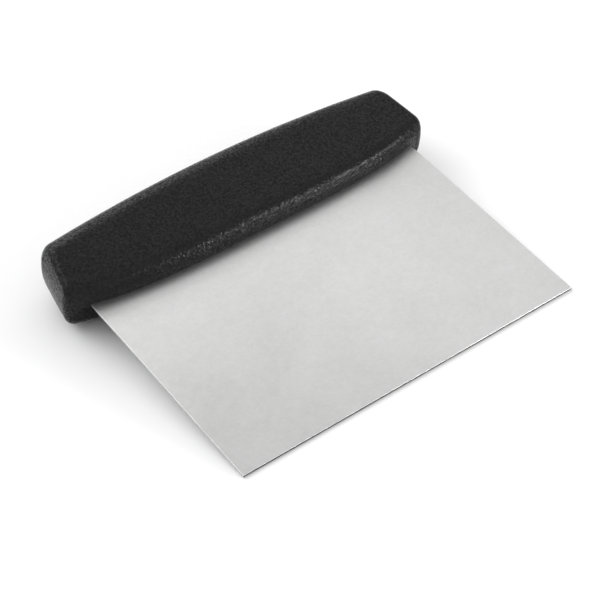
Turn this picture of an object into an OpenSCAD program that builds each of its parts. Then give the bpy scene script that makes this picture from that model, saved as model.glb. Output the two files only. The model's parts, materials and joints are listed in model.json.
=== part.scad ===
// Bench scraper (dough scraper): a square steel plate held in a moulded plastic grip.
// It lies at rest: the scraping edge and the belly of the grip touch the plane z = 0.
// +X runs along the grip, the scraping edge points to -Y and the grip to +Y, +Z is up.
// The origin is the centre of the bottom of the whole object. Millimetres.
//
// The pieces are drawn in the plate's own frame and then laid down by to_rest():
// x along the scraping edge, y from the scraping edge towards the grip, z across the plate,
// with z = 0 in the middle of the plate's thickness.

/* [Blade] */
// Width of the plate, along the scraping edge
blade_w = 152; // [140:1:154]
// Thickness of the plate
blade_t = 1.2; // [0.8:0.1:1.6]
// Depth of the full-width plate, from the scraping edge to its hidden shoulders
blade_depth = 100; // [98:0.5:102]
// Width of the tang inside the grip
tang_w = 118; // [100:1:124]
// Reach of the tang, from the scraping edge
tang_reach = 115; // [111:0.5:116]
// Corner radius of the tang
tang_r = 4; // [1:0.5:6]
// Number of locking holes in the tang
hole_count = 4; // [2:1:5]
// Diameter of a locking hole
hole_d = 6; // [4:0.5:7]
// Distance between locking holes
hole_pitch = 32; // [20:1:36]
// Distance from the scraping edge to the row of locking holes
hole_y = 107; // [105:0.5:108]

/* [Grip outline, seen from above] */
// Front of the grip in the middle, from the scraping edge
front_y = 90.2; // [88:0.1:92]
// How far the front bows back at the ends of the plate (it is nearly straight in the middle)
front_bow = 4; // [0:0.1:5]
// Back of the grip in the middle, from the scraping edge
rear_y = 128.6; // [126:0.1:131]
// How far the back bows in at the ends of the plate
rear_bow = 2.9; // [0:0.1:4]
// Half length of the grip where the end face passes slant_y
half_length = 85.7; // [84:0.1:89]
// Distance from the scraping edge at which half_length holds
slant_y = 95; // [90:1:100]
// Slant of each end face: how much shorter the grip gets for each millimetre backwards
end_slant = 0.18; // [0:0.01:0.25]

/* [Grip section, seen from the end] */
// Half thickness of the grip at thick_y, halfway along
half_thick = 12.8; // [12:0.1:14.5]
// Distance from the scraping edge at which half_thick holds
thick_y = 105; // [100:1:110]
// Slope of the upper and lower faces: the grip gets thicker towards the back
face_slope = 0.2; // [0.1:0.01:0.25]
// How much thinner each half is at the ends of the plate than halfway along
crown = 1.3; // [0:0.1:2]
// How far the plate lies above the middle of the grip
blade_rise = 0.9; // [0:0.1:1.2]
// Edge radius along the front
front_r = 6; // [5.2:0.1:7]
// Edge radius along the back
rear_r = 9.4; // [7:0.1:10.4]

/* [Grip ends] */
// Bulge of each end face: how much its middle stands out past a point half_thick above or below it
end_bulge = 2.3; // [0:0.1:3]
// Edge radius around the upper and lower edges of the end faces
end_r = 2.6; // [1:0.1:3]
// Corner radius between the end faces and the front
front_corner_r = 5; // [2.5:0.1:5]
// Corner radius between the end faces and the back
rear_corner_r = 4.1; // [2.5:0.1:5]

/* [Core] */
// Half length of the moulded core
core_half = 68; // [64:1:72]
// Thickness of the textured skin over the upper and lower faces of the core
skin_t = 4; // [3:0.1:5]
// Skin in front of the core
skin_front = 6; // [5:0.5:7]
// Skin behind the core
skin_rear = 6; // [5:0.5:8]
// Number of key grooves across each half of the core
groove_count = 7; // [3:1:9]
// Width of a key groove
groove_w = 4; // [2:0.5:6]
// Depth of a key groove
groove_d = 1.2; // [0.5:0.1:2]
// Clearance around each peg in its locking hole
peg_gap = 0.15; // [0.1:0.05:0.3]
// How far a peg enters the lower half of the core
peg_reach = 4; // [3:0.5:4.5]

/* [Hidden] */
steel = "#cfd0cf";
black = "#2b2b2c";
dark_grey = "#5a5d60";
$fn = 48;
over = 1;                        // how far a cutting tool passes through what it cuts
bow_x = 76;                      // distance from the middle at which the bows and the crown hold
mid_z = -blade_rise;             // middle plane of the grip
slope_angle = atan(face_slope);
stations = 28;                   // rings along the grip, without its rounded end edges
arc_steps = 7;                   // facets around each long edge
end_steps = 4;                   // facets around each end edge
side_steps = 3;                  // facets up each half of the front and of the back

// ---- outline and section of the grip -------------------------------------------------------

function front_at(x) = front_y + front_bow * pow(x / bow_x, 4);
function rear_at(x) = rear_y - rear_bow * pow(x / bow_x, 2);
function face_z(x, y) = half_thick + face_slope * (y - thick_y) - crown * pow(x / bow_x, 2);
// Distance of the end face from the middle, for a point at y and z off the middle plane
function end_x(y, z) =
    half_length - end_slant * (y - slant_y) - end_bulge * pow(z / half_thick, 2);

// Radius of the end's edge where the section faces the direction a (0 is back, 180 is front)
function end_edge_r(a) = cos(a) < 0
    ? end_r + (front_corner_r - end_r) * pow(cos(a), 2)
    : end_r + (rear_corner_r - end_r) * pow(cos(a), 2);

// Height of the centre of a long edge's arc of radius r, centred at y
function arc_z(x, y, r) = face_z(x, y) - r / cos(slope_angle);

// Directions that the upper half of the section faces, from the back over the top to the front
rear_angles = [for (k = [0:arc_steps]) k * (90 + slope_angle) / arc_steps];
front_angles = [for (k = [0:arc_steps]) 90 + slope_angle + k * (90 - slope_angle) / arc_steps];

// One point of the section at x, [y, z off the middle plane, direction]: where the long edge
// centred at yc with radius r faces the direction a, moved inwards by inset
function section_point(x, yc, r, a, inset) =
    [yc + (r - inset) * cos(a), arc_z(x, yc, r) + (r - inset) * sin(a), a];

// Upper half of the section at the share t of the way to the end, as [y, z, direction], from the
// middle of the back over the top to the middle of the front.
// round is 0 on the long faces and goes to 90 over the end's edge.
function upper_half(t, round) =
    let (
        xf = t * end_x(front_at(t * half_length), 0),
        xr = t * end_x(rear_at(t * half_length), 0),
        yf = front_at(xf) + front_r,
        yr = rear_at(xr) - rear_r,
        inset = function(a) end_edge_r(a) * (1 - cos(round)),
        rear_arc = [for (a = rear_angles) section_point(xr, yr, rear_r, a, inset(a))],
        front_arc = [for (a = front_angles) section_point(xf, yf, front_r, a, inset(a))],
        back = rear_arc[0],
        front = front_arc[arc_steps]
    )
    concat(
        [for (k = [0:side_steps - 1]) [back[0], back[1] * k / side_steps, 0]],
        rear_arc,
        front_arc,
        [for (k = [side_steps - 1:-1:0]) [front[0], front[1] * k / side_steps, 180]]
    );

// Full ring of points around the grip: the upper half, then its mirror image below
function ring(t, round) =
    let (
        up = upper_half(t, round),
        last = len(up) - 1,
        all = concat(up, [for (i = [last - 1:-1:1]) [up[i][0], -up[i][1], up[i][2]]])
    )
    [for (p = all)
        [t * (end_x(p[0], p[1]) - end_edge_r(p[2]) * (1 - sin(round))), p[0], mid_z + p[1]]];

half_count = 2 * (arc_steps + 1 + side_steps); // points in the upper half of a ring
ring_count = 2 * half_count - 2;               // points in a full ring
end_rounds = [for (k = [0:end_steps]) 90 * k / end_steps];
rings = concat(
    [for (k = [end_steps:-1:1]) ring(-1, end_rounds[k])],
    [for (k = [0:stations]) ring(-1 + 2 * k / stations, 0)],
    [for (k = [1:end_steps]) ring(1, end_rounds[k])]
);

// An end face is a grid. Its columns run from the back to the front, its rows from the top down.
cap_columns = 2 * (arc_steps + 1);
cap_rows = 2 * side_steps + 1;

// Points inside that grid, row by row; its border is the last ring
function cap_points(t) =
    let (up = upper_half(t, 90))
    [for (k = [1:cap_rows - 2], c = [1:cap_columns - 2])
        let (p = up[side_steps + c], z = p[1] * (1 - k / side_steps))
        [t * end_x(p[0], z), p[0], mid_z + z]];

// Triangles of an end face. Its ring starts at index a and its inner points at index b.
function end_face(a, b, flip) =
    let (
        at = function(k, c) c == 0 ? a + (ring_count + side_steps - k) % ring_count
            : c == cap_columns - 1 ? a + half_count - 1 - side_steps + k
            : k == 0 ? a + side_steps + c
            : k == cap_rows - 1 ? a + ring_count - side_steps - c
            : b + (k - 1) * (cap_columns - 2) + c - 1,
        faces = [for (k = [0:cap_rows - 2], c = [0:cap_columns - 2])
            each [[at(k, c), at(k, c + 1), at(k + 1, c + 1)],
                  [at(k, c), at(k + 1, c + 1), at(k + 1, c)]]]
    )
    [for (f = faces) flip ? [f[2], f[1], f[0]] : f];

module grip_body() {
    points = [for (r = rings) each r];
    left_cap = cap_points(-1);
    right_cap = cap_points(1);
    sides = [for (j = [0:len(rings) - 2], i = [0:ring_count - 1])
        let (
            a = j * ring_count + i,
            b = j * ring_count + (i + 1) % ring_count,
            c = a + ring_count,
            d = b + ring_count
        )
        each [[a, b, d], [a, d, c]]];
    polyhedron(
        points = concat(points, left_cap, right_cap),
        faces = concat(
            sides,
            end_face(0, len(points), true),
            end_face((len(rings) - 1) * ring_count, len(points) + len(left_cap), false)
        ),
        convexity = 4
    );
}

// ---- rest position ---------------------------------------------------------------------------

// The belly is the lower back edge of the grip, halfway along: an arc of radius rear_r
belly_y = rear_y - rear_r;
belly_drop = arc_z(0, belly_y, rear_r) - mid_z;      // its centre lies this far below the plate
rest_tilt = asin(rear_r / norm([belly_y, belly_drop - blade_t / 2]))
    + atan2(belly_drop - blade_t / 2, belly_y);
floor_z = -blade_t / 2 * cos(rest_tilt);             // height of the scraping edge's lower corner
reach_front = -blade_t / 2 * sin(rest_tilt);
reach_rear = belly_y * cos(rest_tilt) + belly_drop * sin(rest_tilt) + rear_r;

module to_rest() {
    translate([0, -(reach_front + reach_rear) / 2, -floor_z])
        rotate([rest_tilt, 0, 0])
            children();
}

// ---- steel plate -----------------------------------------------------------------------------

hole_xs = [for (i = [0:hole_count - 1]) (i - (hole_count - 1) / 2) * hole_pitch];

module plate_outline() {
    translate([-blade_w / 2, 0]) square([blade_w, blade_depth]);
    translate([-tang_w / 2, blade_depth - over]) square([tang_w, tang_reach - blade_depth - tang_r + over]);
    translate([-tang_w / 2 + tang_r, tang_reach - 2 * tang_r]) square([tang_w - 2 * tang_r, 2 * tang_r]);
    for (side = [-1, 1])
        translate([side * (tang_w / 2 - tang_r), tang_reach - tang_r]) circle(r = tang_r);
}

module plate(holes) {
    difference() {
        translate([0, 0, -blade_t / 2]) linear_extrude(blade_t) plate_outline();
        if (holes)
            for (x = hole_xs)
                translate([x, hole_y, -blade_t]) cylinder(d = hole_d, h = 2 * blade_t);
    }
}

module blade() {
    color(steel) to_rest() plate(true);
}

// ---- moulded core, in two halves clamped on the tang ------------------------------------------

core_back = rear_at(core_half) - skin_rear;
core_parting = -blade_t / 2;                 // the two halves meet level with the plate's lower face
groove_pitch = 2 * core_half / groove_count;

// Height of the core's sloping face off the middle plane of the grip
function core_z(y) = face_z(core_half, y) - skin_t;

module core_plan() {
    xs = [for (k = [-8:8]) k * core_half / 8];
    polygon(concat(
        [for (x = xs) [x, front_at(x) + skin_front]],
        [[core_half, core_back], [-core_half, core_back]]
    ));
}

// Wedge along x whose sloping faces are parallel to the faces of the grip, with key grooves across
module core_wedge() {
    near = front_y;
    rotate([90, 0, 90])
        linear_extrude(2 * core_half + 2 * over, center = true)
            polygon([
                [near, mid_z - core_z(near)], [core_back + over, mid_z - core_z(core_back + over)],
                [core_back + over, mid_z + core_z(core_back + over)], [near, mid_z + core_z(near)]
            ]);
}

module key_grooves() {
    for (i = [0:groove_count - 1], side = [-1, 1])
        translate([(i - (groove_count - 1) / 2) * groove_pitch, thick_y, mid_z + side * core_z(thick_y)])
            rotate([side * slope_angle, 0, 0])
                cube([groove_w, 2 * thick_y, 2 * groove_d], center = true);
}

module core_body() {
    difference() {
        intersection() {
            translate([0, 0, -2 * half_thick]) linear_extrude(4 * half_thick) core_plan();
            core_wedge();
        }
        key_grooves();
    }
}

module slab(z0, z1) {
    translate([-core_half - over, 0, z0]) cube([2 * (core_half + over), 2 * thick_y, z1 - z0]);
}

module pegs(gap) {
    for (x = hole_xs)
        translate([x, hole_y, core_parting - peg_reach])
            cylinder(d = hole_d - 2 * gap, h = peg_reach + blade_t + over);
}

module core_upper_half() {
    color(dark_grey) to_rest() {
        union() {
            difference() {
                intersection() {
                    core_body();
                    slab(core_parting, 2 * half_thick);
                }
                plate(false);
            }
            pegs(peg_gap);
        }
    }
}

module core_lower_half() {
    color(dark_grey) to_rest()
        difference() {
            intersection() {
                core_body();
                slab(-2 * half_thick, core_parting);
            }
            pegs(peg_gap);
        }
}

// ---- textured skin, moulded over the core and the tang ------------------------------------------

module grip_skin() {
    color(black) to_rest()
        difference() {
            grip_body();
            core_body();
            plate(false);
        }
}

blade();
grip_skin();
core_upper_half();
core_lower_half();
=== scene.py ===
"""Bench scraper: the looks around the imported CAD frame.

Everything is in metres, in the frame's own axes: +X along the grip, the scraping edge to -Y, +Z up.
The grip and the plate are drawn in the plate's own frame (x along the scraping edge, y from the
edge towards the grip, z across the plate) and then laid in the row frame.
"""

import json
import math

import bmesh
import bpy
from mathutils import Matrix, Vector

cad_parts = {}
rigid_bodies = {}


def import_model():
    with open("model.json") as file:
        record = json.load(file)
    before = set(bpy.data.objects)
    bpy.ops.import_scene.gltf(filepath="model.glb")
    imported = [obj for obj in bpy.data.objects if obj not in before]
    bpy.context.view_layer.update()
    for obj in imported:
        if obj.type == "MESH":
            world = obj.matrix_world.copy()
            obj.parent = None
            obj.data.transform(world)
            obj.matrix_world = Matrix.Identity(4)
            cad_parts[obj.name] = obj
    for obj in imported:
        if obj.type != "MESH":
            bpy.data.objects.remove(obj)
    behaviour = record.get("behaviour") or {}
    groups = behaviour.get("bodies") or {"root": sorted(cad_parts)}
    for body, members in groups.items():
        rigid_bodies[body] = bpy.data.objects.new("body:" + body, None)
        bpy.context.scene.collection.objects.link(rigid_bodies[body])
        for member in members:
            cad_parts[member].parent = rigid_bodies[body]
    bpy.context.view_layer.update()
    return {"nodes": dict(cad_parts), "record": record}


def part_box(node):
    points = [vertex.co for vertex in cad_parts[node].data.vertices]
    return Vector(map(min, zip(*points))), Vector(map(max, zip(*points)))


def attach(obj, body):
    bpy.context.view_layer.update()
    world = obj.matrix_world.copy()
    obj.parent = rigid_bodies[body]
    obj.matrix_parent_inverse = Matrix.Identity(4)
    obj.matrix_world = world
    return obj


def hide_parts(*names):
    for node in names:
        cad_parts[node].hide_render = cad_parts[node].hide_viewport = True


MM = 0.001

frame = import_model()


# ---- the plate's frame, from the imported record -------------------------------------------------

def plate_frame():
    """Matrix from the plate's own frame to the row frame, worked out from the scraping edge's mount."""
    edge = next(m for m in frame["record"]["mounts"] if m["name"] == "scraping_edge")
    to_grip = -Vector(edge["axis"])
    along = Vector((1, 0, 0))
    rotation = Matrix((along, to_grip, along.cross(to_grip))).transposed().to_4x4()
    return Matrix.Translation(edge["pos_m"]) @ rotation


TO_ROW = plate_frame()


# ---- sizes, the same as the CAD model's --------------------------------------------------------

BLADE_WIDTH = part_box("blade")[1].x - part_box("blade")[0].x
BLADE_THICK = 1.2 * MM
BLADE_DEPTH = 100 * MM           # full-width plate, up to its hidden shoulders
TANG_WIDTH = 118 * MM
TANG_REACH = 115 * MM
TANG_RADIUS = 4 * MM
HOLE_COUNT = 4
HOLE_RADIUS = 3 * MM
HOLE_PITCH = 32 * MM
HOLE_Y = 107 * MM

FRONT_Y = 90.2 * MM              # front of the grip in the middle
FRONT_BOW = 4 * MM               # how far it bows back by BOW_X
REAR_Y = 128.6 * MM              # back of the grip in the middle
REAR_BOW = 2.9 * MM
BOW_X = 76 * MM                  # where the bows and the crown hold
HALF_LENGTH = 85.7 * MM          # half length of the grip at SLANT_Y
SLANT_Y = 95 * MM
END_SLANT = 0.18                 # how much shorter the grip gets for each step backwards
END_BULGE = 2.3 * MM             # how far an end face stands out in its middle
HALF_THICK = 12.8 * MM           # half thickness of the grip at THICK_Y, halfway along
THICK_Y = 105 * MM
FACE_SLOPE = 0.2                 # the grip gets thicker towards the back
CROWN = 1.3 * MM                 # how much thinner each half is at BOW_X than halfway along
MID_Z = -0.9 * MM                # middle plane of the grip
FRONT_R = 6 * MM                 # edge radius along the front
REAR_R = 9.4 * MM                # edge radius along the back
END_R = 2.6 * MM                 # edge radius over and under the end faces
FRONT_CORNER_R = 5 * MM          # corner radius between the end faces and the front
REAR_CORNER_R = 4.1 * MM         # corner radius between the end faces and the back
SLOPE_ANGLE = math.atan(FACE_SLOPE)

CORE_HALVES = ("core_upper_half", "core_lower_half")
CORE_HALF = 68 * MM              # half length of the core
SKIN_THICK = 4 * MM              # skin over the upper and lower faces of the core
GROOVE_COUNT = 7                 # key grooves across each half of the core
GROOVE_WIDTH = 4 * MM
GROOVE_DEPTH = 1.2 * MM


# ---- finer detail that only the looks need -----------------------------------------------------

EDGE_BREAK = 0.28 * MM           # rounding of the plate's sheared edges
EDGE_BREAK_STEPS = 3
CORNER_STEPS = 8                 # facets around each corner of the tang
HOLE_STEPS = 48                  # facets around each hole
STATIONS = 150                   # rings along the grip
ARC_STEPS = 14                   # facets around each long edge
END_STEPS = 8                    # facets around each end edge
FACE_STEPS = 14                  # facets across the upper and lower faces
SIDE_STEPS = 8                   # facets up each half of the front and of the back
FACE_BUNCHING = 0.8              # how far those facets crowd towards the edges, 0 for evenly spaced
SIDE_BUNCHING = 0.6
GRIP_SHARP = math.radians(32)    # edges sharper than this stay sharp
BLADE_SHARP = math.radians(20)

SURFACE_WELD = 0.001 * MM        # points closer than this are joined
GRIP_WELD = 0.0005 * MM
CUT_WELD = 0.0002 * MM


# ---- mesh helpers ------------------------------------------------------------------------------

def new_object(name, mesh):
    obj = bpy.data.objects.new(name, mesh)
    bpy.context.scene.collection.objects.link(obj)
    return obj


def mesh_from(name, points, faces):
    mesh = bpy.data.meshes.new(name)
    mesh.from_pydata(points, [], faces)
    mesh.validate()
    return mesh


def mesh_from_bmesh(name, bm):
    mesh = bpy.data.meshes.new(name)
    bm.to_mesh(mesh)
    bm.free()
    return mesh


def applied(obj):
    """The object's mesh with its modifiers applied, in the row frame."""
    graph = bpy.context.evaluated_depsgraph_get()
    mesh = bpy.data.meshes.new_from_object(obj.evaluated_get(graph), depsgraph=graph)
    mesh.transform(obj.matrix_world)
    return mesh


def cleaned(mesh, distance):
    """The same mesh with points closer than distance joined and every face turned outwards."""
    bm = bmesh.new()
    bm.from_mesh(mesh)
    bmesh.ops.remove_doubles(bm, verts=bm.verts, dist=distance)
    bmesh.ops.dissolve_degenerate(bm, edges=bm.edges, dist=distance)
    bmesh.ops.recalc_face_normals(bm, faces=bm.faces)
    bm.to_mesh(mesh)
    bm.free()
    return mesh


def spaced(count, bunching):
    """Shares from 0 to 1 in count steps, closer together near both ends."""
    return [
        (1 - bunching) * k / count + bunching * (1 - math.cos(math.pi * k / count)) / 2
        for k in range(count + 1)
    ]


# ---- the grip's shape --------------------------------------------------------------------------

def front_at(x):
    """Front of the grip at x; rear_at is its back and face_z the height of its upper face."""
    return FRONT_Y + FRONT_BOW * (x / BOW_X) ** 4


def rear_at(x):
    return REAR_Y - REAR_BOW * (x / BOW_X) ** 2


def face_z(x, y):
    return HALF_THICK + FACE_SLOPE * (y - THICK_Y) - CROWN * (x / BOW_X) ** 2


def end_x(y, z):
    """Distance of the end face from the middle, at y and at z off the middle plane."""
    return HALF_LENGTH - END_SLANT * (y - SLANT_Y) - END_BULGE * (z / HALF_THICK) ** 2


def end_edge_r(direction):
    """Radius of the end's edge where the section faces direction (0 is back, pi is front)."""
    corner = FRONT_CORNER_R if math.cos(direction) < 0 else REAR_CORNER_R
    return END_R + (corner - END_R) * math.cos(direction) ** 2


def arc_point(x, centre_y, radius, direction, turn):
    """Point [y, z off the middle plane, direction] on a long edge's arc."""
    centre_z = face_z(x, centre_y) - radius / math.cos(SLOPE_ANGLE)
    reach = radius - end_edge_r(direction) * (1 - math.cos(turn))
    return (
        centre_y + reach * math.cos(direction),
        centre_z + reach * math.sin(direction),
        direction,
    )


def line(a, b, shares):
    """Points between a and b, at all of the shares but the first and the last."""
    return [tuple(p + (q - p) * s for p, q in zip(a, b)) for s in shares[1:-1]]


def upper_section(t, turn):
    """Upper half of the section at the share t of the way to the end, from the back to the front.

    turn is 0 on the long faces and goes to a quarter turn over the end's edge.
    """
    x_front = t * end_x(front_at(t * HALF_LENGTH), 0)
    x_rear = t * end_x(rear_at(t * HALF_LENGTH), 0)
    y_front = front_at(x_front)
    y_rear = rear_at(x_rear)
    top = math.pi / 2 + SLOPE_ANGLE
    rear_arc = [
        arc_point(x_rear, y_rear - REAR_R, REAR_R, top * k / ARC_STEPS, turn)
        for k in range(ARC_STEPS + 1)
    ]
    front_arc = [
        arc_point(x_front, y_front + FRONT_R, FRONT_R, top + (math.pi - top) * k / ARC_STEPS, turn)
        for k in range(ARC_STEPS + 1)
    ]
    rear_middle = (rear_arc[0][0], 0, 0)
    front_middle = (front_arc[-1][0], 0, math.pi)
    sides = spaced(SIDE_STEPS, SIDE_BUNCHING)
    face = line(rear_arc[-1], front_arc[0], spaced(FACE_STEPS, FACE_BUNCHING))
    return (
        [rear_middle]
        + line(rear_middle, rear_arc[0], sides)
        + rear_arc
        + face
        + front_arc
        + line(front_arc[-1], front_middle, sides)
        + [front_middle]
    )


def ring(t, turn):
    """Closed ring of points around the grip: the upper half, then its mirror image below."""
    upper = upper_section(t, turn)
    lower = [(y, -z, direction) for y, z, direction in upper[-2:0:-1]]
    inwards = 1 - math.sin(turn)
    return [
        Vector((t * (end_x(y, z) - end_edge_r(direction) * inwards), y, MID_Z + z))
        for y, z, direction in upper + lower
    ]


def grip_outside():
    """Closed outer surface of the grip."""
    turns = [math.pi / 2 * k / END_STEPS for k in range(END_STEPS + 1)]
    rings = [ring(-1, turn) for turn in reversed(turns[1:])]
    rings += [ring(-1 + 2 * k / STATIONS, 0) for k in range(STATIONS + 1)]
    rings += [ring(1, turn) for turn in turns[1:]]
    count = len(rings[0])
    points = [p for r in rings for p in r]
    faces = []
    for j in range(len(rings) - 1):
        for i in range(count):
            a = j * count + i
            b = j * count + (i + 1) % count
            faces.append((a, b, b + count, a + count))
    for side, first in ((-1, 0), (1, len(points) - count)):
        faces += end_face(side, first, count, points)
    return mesh_from("grip_outside", [TO_ROW @ p for p in points], faces)


def end_face(side, first, count, points):
    """Faces of a grid that closes one end; the ring that starts at first is the grid's border.

    The grid's columns run from the back to the front and its rows from the top down. The points
    inside it are added to points.
    """
    last_row = 2 * SIDE_STEPS
    front_middle = first + count // 2
    section = upper_section(side, math.pi / 2)[SIDE_STEPS:-SIDE_STEPS]
    shares = spaced(SIDE_STEPS, SIDE_BUNCHING)
    shares = shares[::-1] + [-share for share in shares[1:]]
    columns = [[first + (count + SIDE_STEPS - k) % count for k in range(last_row + 1)]]
    for c, (y, z, _) in enumerate(section[1:-1], start=1):
        inner = [len(points) + k for k in range(last_row - 1)]
        points += [
            Vector((side * end_x(y, z * share), y, MID_Z + z * share)) for share in shares[1:-1]
        ]
        columns.append([first + SIDE_STEPS + c] + inner + [first + count - SIDE_STEPS - c])
    columns.append([front_middle - SIDE_STEPS + k for k in range(last_row + 1)])
    return [
        (near[k], far[k], far[k + 1], near[k + 1])
        for near, far in zip(columns, columns[1:])
        for k in range(last_row)
    ]


# ---- the plate's shape -------------------------------------------------------------------------

def plate_outline():
    """Corners of the plate, counterclockwise: the wide part, its shoulders and the tang."""
    half = BLADE_WIDTH / 2
    tang = TANG_WIDTH / 2
    right = [(half, 0), (half, BLADE_DEPTH), (tang, BLADE_DEPTH)]
    corner = [
        (
            tang - TANG_RADIUS + TANG_RADIUS * math.cos(a),
            TANG_REACH - TANG_RADIUS + TANG_RADIUS * math.sin(a),
        )
        for a in [math.pi / 2 * k / CORNER_STEPS for k in range(CORNER_STEPS + 1)]
    ]
    right_side = right + corner
    return right_side + [(-x, y) for x, y in reversed(right_side)]


def hole_outline(x):
    """The locking hole in the tang whose centre is at x."""
    angles = [2 * math.pi * k / HOLE_STEPS for k in range(HOLE_STEPS)]
    return [(x + HOLE_RADIUS * math.cos(a), HOLE_Y + HOLE_RADIUS * math.sin(a)) for a in angles]


def plate_mesh(name, holes, edge_break):
    """The plate as a mesh in the row frame, with every edge rounded by edge_break."""
    outlines = [plate_outline()]
    if holes:
        first = -(HOLE_COUNT - 1) / 2 * HOLE_PITCH
        outlines += [hole_outline(first + i * HOLE_PITCH) for i in range(HOLE_COUNT)]
    curve = bpy.data.curves.new(name, "CURVE")
    curve.dimensions = "2D"
    curve.fill_mode = "BOTH"
    curve.extrude = BLADE_THICK / 2 - edge_break
    curve.bevel_depth = edge_break
    curve.bevel_resolution = EDGE_BREAK_STEPS
    curve.offset = -edge_break
    for outline in outlines:
        spline = curve.splines.new("POLY")
        spline.points.add(len(outline) - 1)
        spline.use_cyclic_u = True
        for point, (x, y) in zip(spline.points, outline):
            point.co = (x, y, 0, 1)
    obj = new_object(name, curve)
    obj.matrix_world = TO_ROW
    bpy.context.view_layer.update()
    mesh = cleaned(applied(obj), SURFACE_WELD)
    bpy.data.objects.remove(obj)
    return mesh


# ---- materials ---------------------------------------------------------------------------------

class Material:
    """A material's node tree, with short calls for the nodes that the materials here share."""

    def __init__(self, name, **shader_values):
        self.material = bpy.data.materials.new(name)
        self.material.use_nodes = True
        self.nodes = self.material.node_tree.nodes
        self.links = self.material.node_tree.links
        self.shader = self.nodes["Principled BSDF"]
        for socket, value in shader_values.items():
            self.shader.inputs[socket.replace("_", " ")].default_value = value
        self.place = self.nodes.new("ShaderNodeTexCoord").outputs["Object"]

    def node(self, kind, **settings):
        made = self.nodes.new(kind)
        for key, value in settings.items():
            setattr(made, key, value)
        return made

    def link(self, source, target):
        self.links.new(source, target)

    def stretched(self, scale, turn=(0, 0, 0)):
        """Object coordinates turned and then scaled, so that a pattern runs long one way."""
        mapping = self.node("ShaderNodeMapping", vector_type="POINT")
        mapping.inputs["Rotation"].default_value = turn
        mapping.inputs["Scale"].default_value = scale
        self.link(self.place, mapping.inputs["Vector"])
        return mapping.outputs["Vector"]

    def noise(self, size, detail=2.0, roughness=0.5, vector=None):
        """Noise with features of about size metres."""
        made = self.node("ShaderNodeTexNoise")
        made.inputs["Scale"].default_value = 1 / size
        made.inputs["Detail"].default_value = detail
        made.inputs["Roughness"].default_value = roughness
        self.link(vector or self.place, made.inputs["Vector"])
        return made.outputs["Fac"]

    def cells(self, size):
        """Distance to the nearest of scattered points that are about size metres apart."""
        made = self.node("ShaderNodeTexVoronoi", feature="F1")
        made.inputs["Scale"].default_value = 1 / size
        self.link(self.place, made.inputs["Vector"])
        return made.outputs["Distance"]

    def ramp(self, value, low, high, start, end):
        """value taken from the range start..end to the range low..high."""
        made = self.node("ShaderNodeMapRange")
        made.inputs["From Min"].default_value = start
        made.inputs["From Max"].default_value = end
        made.inputs["To Min"].default_value = low
        made.inputs["To Max"].default_value = high
        self.link(value, made.inputs["Value"])
        return made.outputs["Result"]

    def maths(self, operation, a, b):
        made = self.node("ShaderNodeMath", operation=operation)
        for socket, value in zip(made.inputs, (a, b)):
            if isinstance(value, (int, float)):
                socket.default_value = value
            else:
                self.link(value, socket)
        return made.outputs["Value"]

    def blend(self, share, low, high):
        """Colour between low and high."""
        made = self.node("ShaderNodeMix", data_type="RGBA")
        made.inputs["A"].default_value = (*low, 1)
        made.inputs["B"].default_value = (*high, 1)
        self.link(share, made.inputs["Factor"])
        return made.outputs["Result"]

    def bump(self, height, depth, normal=None):
        """Bump of the given depth in metres, on top of an earlier one if normal is given."""
        made = self.node("ShaderNodeBump")
        made.inputs["Distance"].default_value = depth
        self.link(height, made.inputs["Height"])
        if normal is not None:
            self.link(normal, made.inputs["Normal"])
        return made.outputs["Normal"]

    def set(self, socket, source):
        self.link(source, self.shader.inputs[socket])


def grained_plastic():
    """Black plastic with a spark-eroded mould grain: rounded pits with glossier land between them.

    Its index of refraction is below solid plastic's, because the pits swallow some of the light.
    """
    m = Material("grip_grained_plastic", IOR=1.18)
    pits = m.maths("MULTIPLY", m.cells(1.2 * MM), 0.4)
    grain = m.maths("ADD", m.noise(1.2 * MM, detail=3, roughness=0.65), pits)
    fine = m.noise(0.18 * MM, detail=2, roughness=0.5)
    glints = m.noise(0.9 * MM, detail=2, roughness=0.6)
    cloud = m.ramp(m.noise(14 * MM, detail=2, roughness=0.5), 0, 1, start=0.35, end=0.65)
    m.set("Base Color", m.blend(cloud, (0.0136, 0.0136, 0.0139), (0.0152, 0.0152, 0.0156)))
    m.set("Specular IOR Level", m.ramp(glints, 0.05, 1.05, start=0.37, end=0.63))
    m.set("Roughness", m.ramp(grain, 0.19, 0.30, start=0.45, end=0.95))
    coarse_bump = m.bump(grain, 0.2 * MM)
    m.set("Normal", m.bump(fine, 0.012 * MM, normal=coarse_bump))
    return m.material


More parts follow.
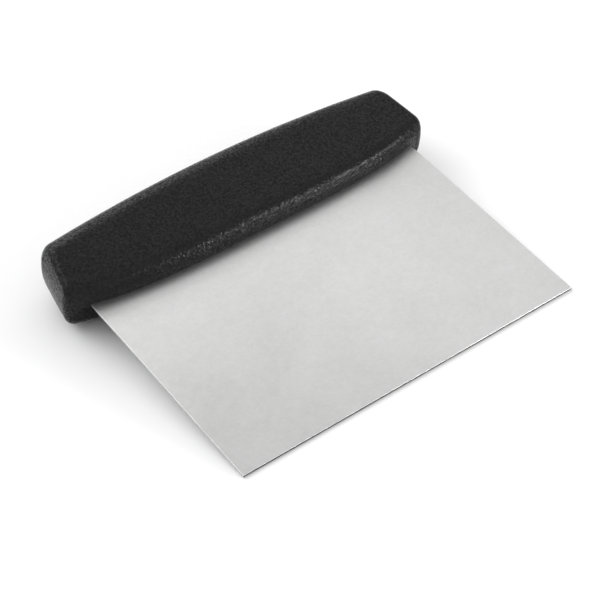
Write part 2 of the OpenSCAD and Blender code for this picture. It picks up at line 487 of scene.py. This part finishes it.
def satin_steel():
    """Stainless steel with a fine even satin finish, faint clouds and a few hair scratches."""
    m = Material("blade_satin_steel", Metallic=1.0)
    along_grind = m.stretched((0.5, 1, 1), (0, 0, math.radians(18)))
    along_scratches = m.stretched((0.05, 1, 1), (0, 0, math.radians(-38)))
    satin = m.noise(0.9 * MM, detail=4, roughness=0.7, vector=along_grind)
    scratches = m.noise(0.8 * MM, detail=2, roughness=0.5, vector=along_scratches)
    cloud = m.noise(24 * MM, detail=3, roughness=0.55)
    mottle = m.noise(3.2 * MM, detail=4, roughness=0.65)
    tone = m.maths("ADD", m.maths("MULTIPLY", cloud, 0.5), m.maths("MULTIPLY", mottle, 0.5))
    fine_tone = m.maths("ADD", m.maths("MULTIPLY", tone, 0.6), m.maths("MULTIPLY", satin, 0.4))
    hair = m.ramp(scratches, 0, 1, start=0.70, end=0.82)
    shade = m.maths("SUBTRACT", m.ramp(fine_tone, 0, 1, start=0.38, end=0.62), hair)
    m.set("Base Color", m.blend(shade, (0.59, 0.59, 0.587), (0.66, 0.66, 0.657)))
    m.set("Roughness", m.ramp(tone, 0.345, 0.365, start=0.35, end=0.65))
    m.set("Normal", m.bump(satin, 0.03 * MM))
    return m.material


def painted_shade_edge_steel():
    """The scraping edge's face: duller than the satin faces, with marks across it, and painted much
    darker than steel as painted shade.
    """
    m = Material("blade_edge_painted_shade", Metallic=1.0)
    marks = m.noise(0.5 * MM, detail=3, roughness=0.6, vector=m.stretched((1, 0.2, 0.2)))
    # the dark base colour is painted shade along the scraping edge, not the steel's own colour
    m.set("Base Color", m.blend(marks, (0.10, 0.10, 0.099), (0.17, 0.17, 0.168)))
    m.set("Roughness", m.ramp(marks, 0.42, 0.55, start=0.3, end=0.7))
    m.set("Normal", m.bump(marks, 0.02 * MM))
    return m.material


def core_plastic():
    """Dark filled plastic of the core, with faint flow marks along it."""
    m = Material("core_filled_plastic")
    flow = m.noise(1.6 * MM, detail=3, roughness=0.6, vector=m.stretched((0.12, 1, 1)))
    speck = m.noise(0.35 * MM, detail=2, roughness=0.5)
    shade = m.ramp(flow, 0, 1, start=0.35, end=0.65)
    m.set("Base Color", m.blend(shade, (0.085, 0.090, 0.095), (0.115, 0.120, 0.125)))
    m.set("Roughness", m.ramp(speck, 0.42, 0.58, start=0.35, end=0.65))
    m.set("Normal", m.bump(speck, 0.01 * MM))
    return m.material


def floor_paper():
    """Matt white paper."""
    m = Material("floor_paper", Roughness=0.9, Specular_IOR_Level=0.1)
    m.set("Base Color", m.blend(m.noise(60 * MM, detail=2), (0.94, 0.94, 0.94), (0.96, 0.96, 0.96)))
    return m.material


# ---- pieces ------------------------------------------------------------------------------------

def smooth(mesh, sharp_angle):
    mesh.shade_smooth()
    mesh.set_sharp_from_angle(angle=sharp_angle)


def cut(mesh, cutters):
    """mesh without what the cutters' meshes fill."""
    obj = new_object("cut", mesh)
    group = bpy.data.collections.new("cutters")
    for i, cutter in enumerate(cutters):
        group.objects.link(bpy.data.objects.new(f"cutter_{i}", cutter))
    modifier = obj.modifiers.new("cavity", "BOOLEAN")
    modifier.operation = "DIFFERENCE"
    modifier.solver = "MANIFOLD"
    modifier.operand_type = "COLLECTION"
    modifier.collection = group
    bpy.context.scene.collection.children.link(group)
    bpy.context.view_layer.update()
    result = applied(obj)
    for cutter in list(group.objects):
        bpy.data.objects.remove(cutter)
    bpy.data.collections.remove(group)
    bpy.data.objects.remove(obj)
    return result


def core_hull():
    """Both halves of the core as one solid, with nothing between them and no grooves."""
    bm = bmesh.new()
    for name in CORE_HALVES:
        for vertex in frame["nodes"][name].data.vertices:
            bm.verts.new(vertex.co)
    hull = bmesh.ops.convex_hull(bm, input=bm.verts)
    bmesh.ops.delete(bm, geom=hull["geom_interior"], context="VERTS")
    return cleaned(mesh_from_bmesh("core_hull", bm), SURFACE_WELD)


def groove_bar(x, side):
    """A bar that cuts one key groove across the core's upper (1) or lower (-1) face."""
    surface = face_z(CORE_HALF, THICK_Y) - SKIN_THICK
    place = Matrix.Translation((x, THICK_Y, MID_Z + side * surface))
    turn = Matrix.Rotation(side * SLOPE_ANGLE, 4, "X")
    bar_length = THICK_Y   # runs out past the front and the back of the core
    size = Matrix.Diagonal((GROOVE_WIDTH, bar_length, 2 * GROOVE_DEPTH, 1))
    bm = bmesh.new()
    bmesh.ops.create_cube(bm, size=1, matrix=TO_ROW @ place @ turn @ size)
    return mesh_from_bmesh("groove_bar", bm)


def make_grip():
    """The textured skin: the outer surface, hollowed where the core and the plate sit."""
    pitch = 2 * CORE_HALF / GROOVE_COUNT
    bars = [
        groove_bar((i - (GROOVE_COUNT - 1) / 2) * pitch, side)
        for i in range(GROOVE_COUNT)
        for side in (-1, 1)
    ]
    cutters = [cut(core_hull(), bars), plate_mesh("plate_cutter", holes=False, edge_break=0)]
    mesh = cleaned(cut(cleaned(grip_outside(), GRIP_WELD), cutters), CUT_WELD)
    mesh.materials.clear()
    mesh.materials.append(grained_plastic())
    smooth(mesh, GRIP_SHARP)
    obj = new_object("grip", mesh)
    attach(obj, "root")
    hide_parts("grip_skin")


def make_blade():
    """The steel plate with its sheared edges broken, its tang and its locking holes.

    The scraping edge has the darker steel with painted shade on its front and underneath, not on its
    upper rounding.
    """
    mesh = plate_mesh("steel_blade", holes=True, edge_break=EDGE_BREAK)
    mesh.materials.append(satin_steel())
    mesh.materials.append(painted_shade_edge_steel())
    edge_facing = TO_ROW.to_3x3() @ Vector((0, -1, 0))
    halfway = TO_ROW.translation.y + BLADE_DEPTH / 2
    limit = 0.3   # share of a unit normal from which on a face counts as facing that way
    for face in mesh.polygons:
        faces_edge = face.normal.dot(edge_facing) > limit
        faces_up = face.normal.z >= limit
        if faces_edge and not faces_up and face.center.y < halfway:
            # these faces get the steel with the painted shade of the scraping edge
            face.material_index = 1
    smooth(mesh, BLADE_SHARP)
    obj = new_object("steel_blade", mesh)
    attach(obj, "root")
    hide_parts("blade")


def dress_core():
    """The core halves are right as packed, and get their own plastic."""
    plastic = core_plastic()
    for name in CORE_HALVES:
        node = frame["nodes"][name]
        node.data.materials.clear()
        node.data.materials.append(plastic)


# ---- stage, light and camera -------------------------------------------------------------------

def make_floor():
    half = 2.0
    corners = [(-half, -half, 0), (half, -half, 0), (half, half, 0), (-half, half, 0)]
    floor = new_object("floor", mesh_from("floor", corners, [(0, 1, 2, 3)]))
    floor.data.materials.append(floor_paper())


def towards(azimuth, elevation):
    """Unit vector towards azimuth (0 is -Y, 90 is +X) and elevation, in degrees."""
    a = math.radians(azimuth)
    e = math.radians(elevation)
    return Vector((math.sin(a) * math.cos(e), -math.cos(a) * math.cos(e), math.sin(e)))


def softbox(name, azimuth, elevation, distance, width, height, watts):
    """A rectangular lamp that faces the middle of the scraper from the given direction."""
    aim = Vector((0, 0, 10 * MM))
    lamp = bpy.data.lights.new(name, "AREA")
    lamp.shape = "RECTANGLE"
    lamp.size = width
    lamp.size_y = height
    lamp.energy = watts
    obj = new_object(name, lamp)
    back = towards(azimuth, elevation)
    obj.location = aim + back * distance
    obj.rotation_mode = "QUATERNION"
    obj.rotation_quaternion = (-back).to_track_quat("-Z", "Y")


def studio_world(horizon, overhead):
    """White surroundings that get brighter from the horizon to overhead."""
    full_height = 0.8   # sine of the elevation from which on they are as bright as overhead
    world = bpy.data.worlds.new("studio")
    world.use_nodes = True
    nodes = world.node_tree.nodes
    links = world.node_tree.links
    where = nodes.new("ShaderNodeTexCoord")
    split = nodes.new("ShaderNodeSeparateXYZ")
    glow = nodes.new("ShaderNodeMapRange")
    glow.inputs["From Max"].default_value = full_height
    glow.inputs["To Min"].default_value = horizon
    glow.inputs["To Max"].default_value = overhead
    links.new(where.outputs["Generated"], split.inputs["Vector"])
    links.new(split.outputs["Z"], glow.inputs["Value"])
    links.new(glow.outputs["Result"], nodes["Background"].inputs["Strength"])
    nodes["Background"].inputs["Color"].default_value = (1, 1, 1, 1)
    bpy.context.scene.world = world


def light_studio():
    """Soft light from behind, a box that the plate mirrors, and a low strip for the front edge."""
    studio_world(horizon=0.28, overhead=0.79)
    softbox("plate_softbox", 126, 45, distance=1.6, width=1.4, height=1.0, watts=1.85)
    softbox("back_left_softbox", -140, 35, distance=1.6, width=1.2, height=1.2, watts=8.8)
    softbox("back_softbox", 180, 30, distance=1.6, width=1.6, height=0.9, watts=9)
    softbox("front_strip", 37, 10, distance=1.3, width=0.4, height=0.16, watts=11)


def make_camera():
    """A long lens, looking down on the scraper from its front left."""
    aim = Vector((-11.6 * MM, -11.33 * MM, 8 * MM))
    distance = 647.5 * MM
    azimuth = -35.24
    elevation = 41.52
    roll = math.radians(-2.81)
    focal_length = 105.09   # mm, on a sensor 36 mm wide
    back = towards(azimuth, elevation)
    camera = bpy.data.cameras.new("camera")
    camera.sensor_width = 36
    camera.lens = focal_length
    camera.clip_start = 0.01
    obj = new_object("camera", camera)
    facing = (-back).to_track_quat("-Z", "Y").to_matrix().to_4x4()
    rolled = facing @ Matrix.Rotation(roll, 4, "Z")
    obj.matrix_world = Matrix.Translation(aim + back * distance) @ rolled
    bpy.context.scene.camera = obj


make_grip()
make_blade()
dress_core()
make_floor()
light_studio()
make_camera()
bpy.context.scene.view_settings.view_transform = "Standard"

bpy.context.view_layer.update()
